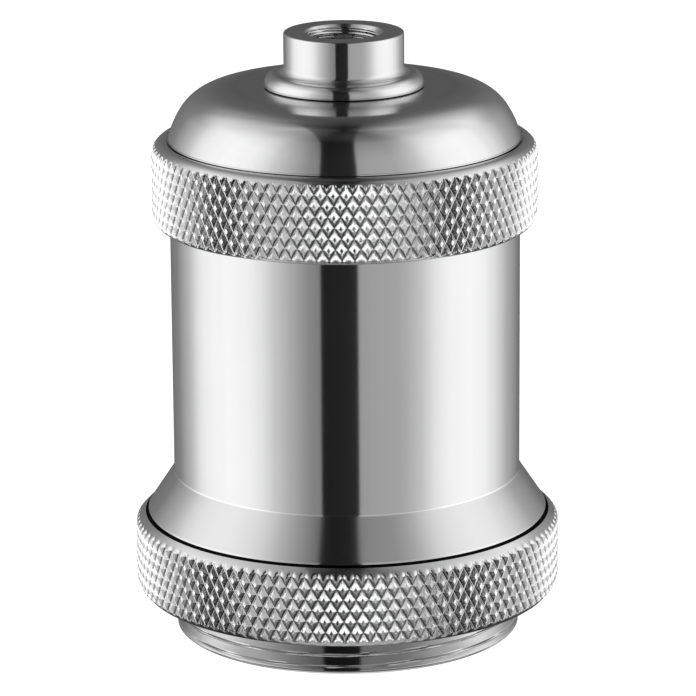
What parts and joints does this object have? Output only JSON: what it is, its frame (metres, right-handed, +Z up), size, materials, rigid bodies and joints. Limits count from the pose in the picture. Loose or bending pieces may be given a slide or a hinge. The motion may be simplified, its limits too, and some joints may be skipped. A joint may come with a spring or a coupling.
{
  "type": "lamp holder",
  "caption": "Bright metal screw lamp holder: flared cylindrical body, domed cap with threaded neck, knurled union ring and knurled shade ring.",
  "frame": {"origin": "centre of the body's bottom rim, on the surface that the holder stands on", "axes": "+Z up along the common axis of body and neck; -Y towards the side that the picture shows"},
  "size_m": [0.0578, 0.0578, 0.0821],
  "materials": {
    "bright_plate": "polished, with fine turning lines",
    "steel": "plain zinc-plated",
    "ceramic": "white glaze",
    "nickel": "bright nickel over rolled sheet",
    "brass": "plain"
  },
  "bodies": {
    "holder_body": {"body_shell": "bright_plate", "ceramic_insert": "ceramic", "insert_retaining_ring": "steel", "screw_shell": "nickel", "shell_fixing_screws": "steel", "shell_anchor_nut": "brass", "centre_contact": "brass", "centre_contact_screw": "brass", "live_terminal": "brass", "neutral_terminal": "brass", "terminal_screws": "steel"},
    "cap_group": {"cap": "bright_plate", "neck_grub_screw": "steel", "earth_screw": "steel", "earth_saddle_washer": "steel"},
    "union_ring": {"upper_ring": "bright_plate"},
    "shade_ring": {"lower_ring": "bright_plate"}
  },
  "joints": [
    {"name": "cap_lift", "type": "slide", "parent": "holder_body", "child": "cap_group", "axis": [0, 0, 1], "range_m": [0, 0.0085]},
    {"name": "union_ring_turn", "type": "hinge", "parent": "cap_group", "child": "union_ring", "pos_m": [0, 0, 0.062], "axis": [0, 0, 1], "range_deg": [0, 1980]},
    {"name": "shade_ring_turn", "type": "hinge", "parent": "holder_body", "child": "shade_ring", "pos_m": [0, 0, 0.0105], "axis": [0, 0, -1], "range_deg": [0, 2160]}
  ],
  "couplings": [
    {"joint": "cap_lift", "follows": "union_ring_turn", "m_per_rad": 0.00023873}
  ]
}
